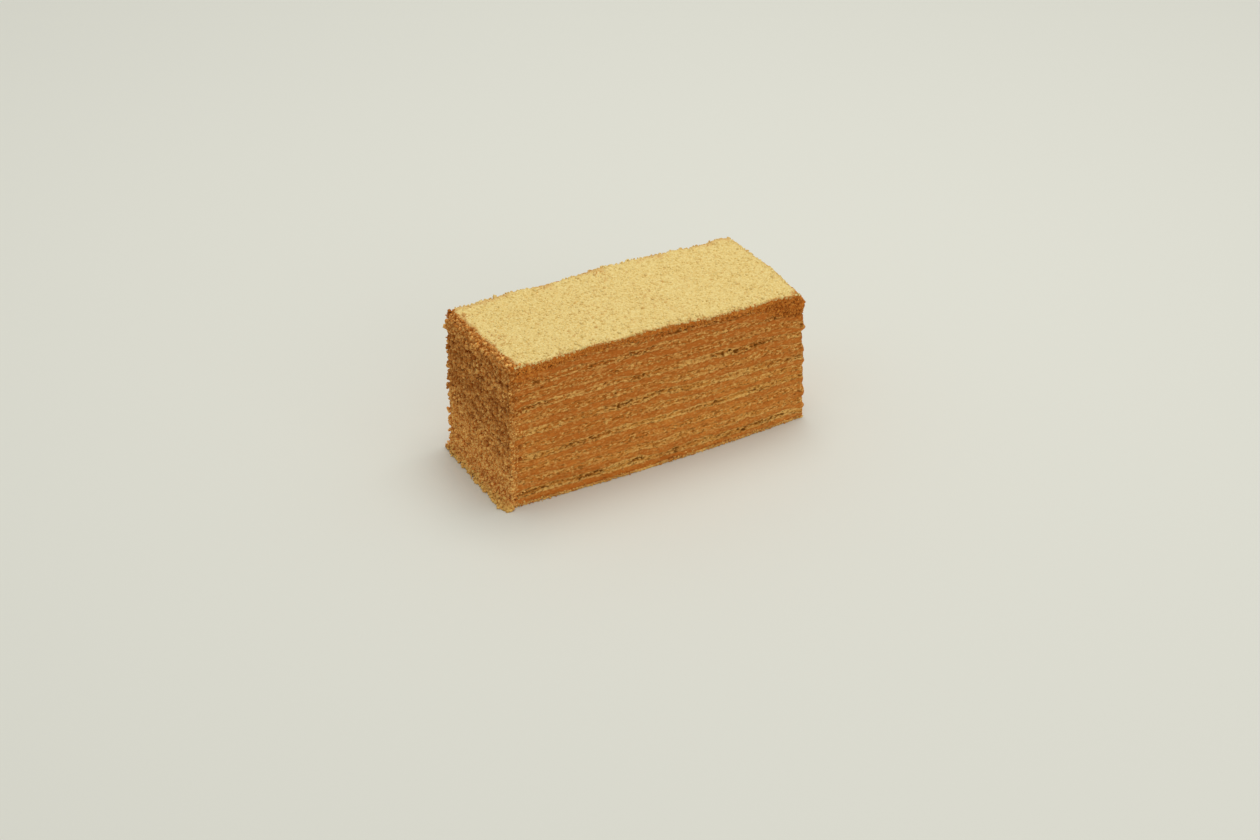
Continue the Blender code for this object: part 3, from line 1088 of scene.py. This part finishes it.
def crumbs_beside_end(random, usual):
    """Crumbs on the cut face beside the crumbed end."""
    count = END_SIDE_CRUMBS
    share = random.uniform(0.01, 0.97, count)
    x = LOW[0] + random.exponential(0.9 * MM, count)
    places, ways = np.column_stack([x, np.full(count, LOW[1])]), np.tile((0.0, -1.0), (count, 1))
    middles = on_wall(places, ways, share, -0.15 * MM, boundary(COAT_TOP, places) * share)
    sizes = crumb_sizes(random, count, usual * 0.9, 0.35, least=0.45)
    return middles, sizes, np.clip(random.normal(0.05, 0.36, count) + 0.75 * share, 0, 1)


class HONEYCAKE_OT_end_crumbs(bpy.types.Operator):
    """Scatter coarser crumbs over the end coat"""

    bl_idname = "honeycake.end_crumbs"
    bl_label = "End Crumbs"

    def execute(self, context):
        makers = (crumbs_over_end, crumbs_over_end_rim, crumbs_beside_end)
        return add_crumbs(
            context, "end_crumbs", "brown", depth=0.15 * MM, seed=12, makers=makers
        )


def pressed_under_rim(random, rim, outward):
    """Middles and shades of crumbs pressed into the cut as far down as the rust comes."""
    weights = rust_reach(rim) * np.where(outward[:, 1] < 0.5, 1, 0.4)
    chosen = random.choice(len(rim), UNDER_RIM_CRUMBS, p=weights / weights.sum())
    places, ways = rim[chosen], outward[chosen]
    depth = np.abs(random.normal(0, 0.5, len(chosen))).clip(0, 1.1) * rust_reach(places)
    depth += PRESSED_DEPTH + 0.5 * MM * (ways[:, 1] > -0.5)
    shades = np.clip(random.normal(0.15, 0.3, len(chosen)), 0, 1)
    return under_top(places, ways, depth, -0.1 * MM), shades


def pressed_at_corner(random, rim, outward):
    """Middles and shades of crumbs pressed in round the far front corner, just under the top."""
    along, across = CORNER_REACH
    corner = np.flatnonzero((rim[:, 0] > HIGH[0] - along) & (rim[:, 1] < LOW[1] + across))
    chosen = random.choice(corner, CORNER_CRUMBS)
    places, ways = rim[chosen], outward[chosen]
    share = random.uniform(0, 1, CORNER_CRUMBS)
    depth = PRESSED_DEPTH + share * (rust_reach(places) + 0.6 * MM) + 0.7 * MM * ways[:, 0]
    proud = random.uniform(-0.2 * MM, 0.25 * MM, CORNER_CRUMBS)
    return under_top(places, ways, depth, proud), random.uniform(0, 1, CORNER_CRUMBS) ** 1.2


def crumbs_pressed_in(random, usual):
    """Crumbs pressed into the cut, smaller where they are close under the top."""
    rim, outward = rounded_rim(LOW, HIGH, EDGE_PITCH, (0, CRUMBED_CORNER, CRUMBED_CORNER, 0))
    rim, outward = rim[visible(outward)], outward[visible(outward)]
    groups = [make(random, rim, outward) for make in (pressed_under_rim, pressed_at_corner)]
    middles, shades = (np.concatenate(drawn) for drawn in zip(*groups))
    sizes = crumb_sizes(random, len(middles), usual * 0.9, 0.35, least=0.45)
    room = boundary(COAT_TOP, middles[:, :2]) - 1.4 * MM - middles[:, 2]
    return middles, np.minimum(sizes, np.maximum(1.6 * room, 0.4 * MM)), shades


class HONEYCAKE_OT_edge_crumbs(bpy.types.Operator):
    """Press crumbs into the edges of the cut face and along the rim of the top"""

    bl_idname = "honeycake.edge_crumbs"
    bl_label = "Edge Crumbs"

    def execute(self, context):
        makers = (crumbs_pressed_in,)
        return add_crumbs(
            context, "edge_crumbs", "edge", depth=0.12 * MM, seed=14, makers=makers
        )


def fringe_of_end(random):
    """Places along the crumbed end's foot, most at its front corner, and how far out each lies."""
    draws = random.uniform(0, 1, END_FOOT_CRUMBS)
    along = LOW[1] - FRINGE_PAST + (WIDTH + FRINGE_PAST) * draws**1.7
    nearness = 1 - 0.6 * ease(LOW[1], HIGH[1], along)
    spots = np.column_stack([along, along])
    clumps = 1 + 0.7 * grain(spots, 2.5 * MM, 500)
    gone = random.exponential(1.8 * MM, END_FOOT_CRUMBS) * nearness * clumps - 0.6 * MM
    most = FRINGE_REACH * nearness * (0.7 + 0.3 * grain(spots, 1.5 * MM, 501))
    gone = np.where(gone > most, random.uniform(-0.4, 0.5, END_FOOT_CRUMBS) * most, gone)
    return np.column_stack([LOW[0] - FOOT_SPREAD * 0.8 - gone, along]), gone


def fringe_of_front(random):
    """Places along the cut face's foot."""
    along = random.uniform(LOW[0] - 2 * MM, HIGH[0], FRONT_FOOT_CRUMBS)
    out = np.abs(random.normal(0, 0.3 * MM, FRONT_FOOT_CRUMBS)) + bow(0, along) - 0.1 * MM
    return np.column_stack([along, LOW[1] - out])


def crumbs_at_foot(random, usual):
    """Crumbs on the floor against the slice, piled a little where they touch its end."""
    end, gone = fringe_of_end(random)
    places = np.concatenate([end, fringe_of_front(random)])
    sizes = crumb_sizes(random, len(places), usual, 0.35)
    sizes[: len(end)] *= 1.15
    sizes[len(end) :] *= 0.6
    heights = sizes * 0.3
    heights[: len(end)] += random.exponential(0.45 * MM, len(end)) * (gone < 1.2 * MM)
    heights[len(end) :] += random.exponential(0.25 * MM, FRONT_FOOT_CRUMBS)
    shades = random.uniform(0, 1, len(places)) ** 1.5
    shades[: len(end)] *= 1 - 0.6 * ease(-0.3 * MM, 1.2 * MM, gone)
    return np.column_stack([places, heights]), sizes, shades


class HONEYCAKE_OT_foot_crumbs(bpy.types.Operator):
    """Lay a fringe of crumbs against the foot of the crumbed end and the cut face"""

    bl_idname = "honeycake.foot_crumbs"
    bl_label = "Foot Crumbs"

    def execute(self, context):
        makers = (crumbs_at_foot,)
        return add_crumbs(
            context, "foot_crumbs", "foot", depth=0.15 * MM, seed=13, makers=makers
        )


# --- Stage -----------------------------------------------------------------------------

CAMERA_PLACE = (-0.4528, -0.777, 0.560)
CAMERA_TURN = (math.radians(58.3), 0, math.radians(-30.3))
CAMERA_LENS = 91.4
NEAREST_SEEN = 0.01
FLOOR_SIDE = 6.0
LIGHT_AIM = (0, 0, 0.03)
SKY_COLOR = (1.0, 0.99, 0.96, 1)
SKY_STRENGTH = 0.50

# The soft lights: name, place, side, power and colour
LIGHTS = (
    ("overhead_light", (0.14, 0.12, 0.9), 0.6, 4.2, (1.0, 0.98, 0.95)),
    ("fill_light", (0.05, -0.95, 0.25), 0.8, 1.7, (1.0, 0.97, 0.93)),
)


def add_area_light(name, place, side, power, color):
    data = bpy.data.lights.new(name, "AREA")
    data.size, data.energy, data.color = side, power, color
    light = add_object(name, data)
    light.location = place
    aim = Vector(LIGHT_AIM) - Vector(place)
    light.rotation_euler = aim.to_track_quat("-Z", "Y").to_euler()


def add_floor(settings):
    half = FLOOR_SIDE / 2
    corners = [(-half, -half, 0), (half, -half, 0), (half, half, 0), (-half, half, 0)]
    mesh = bpy.data.meshes.new("studio_floor")
    mesh.from_pydata(corners, [], [(0, 1, 2, 3)])
    mesh.materials.append(floor_material(settings))
    floor = add_object("studio_floor", mesh)


def add_camera():
    data = bpy.data.cameras.new("studio_camera")
    data.lens = CAMERA_LENS
    data.clip_start = NEAREST_SEEN
    camera = add_object("studio_camera", data)
    camera.location = CAMERA_PLACE
    camera.rotation_euler = CAMERA_TURN
    bpy.context.scene.camera = camera


class HONEYCAKE_OT_stage(bpy.types.Operator):
    """Set the pale floor, the soft lights and the camera"""

    bl_idname = "honeycake.stage"
    bl_label = "Stage"

    def execute(self, context):
        add_floor(context.scene.honey_cake)
        for light in LIGHTS:
            add_area_light(*light)
        world = bpy.data.worlds.new("studio_light")
        world.use_nodes = True
        background = world.node_tree.nodes["Background"]
        background.inputs["Color"].default_value = SKY_COLOR
        background.inputs["Strength"].default_value = SKY_STRENGTH
        context.scene.world = world
        context.scene.view_settings.view_transform = "Standard"
        add_camera()
        return {"FINISHED"}


# --- Settings and panel ----------------------------------------------------------------


def color_setting(name, description, default):
    return bpy.props.FloatVectorProperty(
        name=name, description=description, subtype="COLOR", min=0, max=1, default=default
    )


class HoneyCakeSettings(bpy.types.PropertyGroup):
    crumb_size: bpy.props.FloatProperty(
        name="Crumb size",
        description="Usual width of a single crumb",
        default=0.75 * MM,
        min=0.2 * MM,
        max=3 * MM,
        precision=5,
        subtype="DISTANCE",
        unit="LENGTH",
    )
    crumb_pale: color_setting("Pale crumbs", "Palest of the top crumbs", (0.88, 0.72, 0.32))
    crumb_deep: color_setting("Deep crumbs", "Deepest of the top crumbs", (0.75, 0.54, 0.18))
    toast_color: color_setting("Toast", "Brownest of the top crumbs", (0.56, 0.20, 0.033))
    end_pale: color_setting("Pale end crumbs", "Palest of the end crumbs", (1.0, 0.60, 0.185))
    end_deep: color_setting("Deep end crumbs", "Deepest of the end crumbs", (0.70, 0.265, 0.048))
    # Also the painted shade of the crumbed end's gaps and upper part
    end_toast_and_shade: color_setting("End toast", "Brownest of the end crumbs", (0.37, 0.105, 0.012))
    edge_color: color_setting("Edge crumbs", "Palest of the pressed crumbs", (0.78, 0.34, 0.065))
    foot_color: color_setting("Foot crumbs", "Palest of the foot's crumbs", (0.76, 0.50, 0.13))
    sponge_pale: color_setting("Pale sponge", "Palest of the sponge", (0.745, 0.376, 0.076))
    sponge_deep: color_setting("Deep sponge", "Deepest of the sponge", (0.57, 0.216, 0.033))
    sponge_edge: color_setting("Sponge edges", "Sponge beside the cream", (0.96, 0.59, 0.175))
    cream_color: color_setting("Cream", "Most of the cream", (0.68, 0.236, 0.038))
    cream_deep: color_setting("Deep cream", "Darker streaks of the cream", (0.51, 0.158, 0.023))
    # Also the painted shade that darkens the top of the cut
    caramel_and_shade_color: color_setting("Caramel", "Reddest of the cream", (0.52, 0.15, 0.021))
    caramel_deep: color_setting("Deep caramel", "Streaks of the caramel", (0.38, 0.095, 0.010))
    # Partly the cut's own dark grains, partly painted shade of its fine relief
    grain_and_shade_color: color_setting("Dark grains", "Darkest grains of the cut", (0.27, 0.088, 0.008))
    rust_color: color_setting("Rust", "Cut under the rim of the top", (0.58, 0.165, 0.018))
    # Painted shade inside the pores and in the open crumb's flecks
    pore_shade_color: color_setting("Pores", "Inside of the pores", (0.18, 0.058, 0.004))
    floor_color: color_setting("Floor", "Studio floor", (0.76, 0.77, 0.70))


OPERATORS = (
    HONEYCAKE_OT_crumb_bed,
    HONEYCAKE_OT_sponge_layers,
    HONEYCAKE_OT_cream_layers,
    HONEYCAKE_OT_end_coat,
    HONEYCAKE_OT_top_coat,
    HONEYCAKE_OT_end_crumbs,
    HONEYCAKE_OT_top_crumbs,
    HONEYCAKE_OT_edge_crumbs,
    HONEYCAKE_OT_foot_crumbs,
    HONEYCAKE_OT_stage,
)


class HONEYCAKE_PT_panel(bpy.types.Panel):
    """Lists the pieces of the honey cake slice"""

    bl_idname = "HONEYCAKE_PT_panel"
    bl_label = "Honey Cake Slice"
    bl_space_type = "VIEW_3D"
    bl_region_type = "UI"
    bl_category = "Honey Cake"

    def draw(self, context):
        column = self.layout.column(align=True)
        for operator in OPERATORS:
            column.operator(operator.bl_idname)
        column = self.layout.column()
        for name in HoneyCakeSettings.__annotations__:
            column.prop(context.scene.honey_cake, name)


CLASSES = (HoneyCakeSettings, *OPERATORS, HONEYCAKE_PT_panel)


def register():
    for kind in CLASSES:
        bpy.utils.register_class(kind)
    bpy.types.Scene.honey_cake = bpy.props.PointerProperty(type=HoneyCakeSettings)


def unregister():
    del bpy.types.Scene.honey_cake
    for kind in reversed(CLASSES):
        bpy.utils.unregister_class(kind)


def main():
    register()
    for operator in OPERATORS:
        group, name = operator.bl_idname.split(".")
        getattr(getattr(bpy.ops, group), name)()


if __name__ == "__main__":
    main()
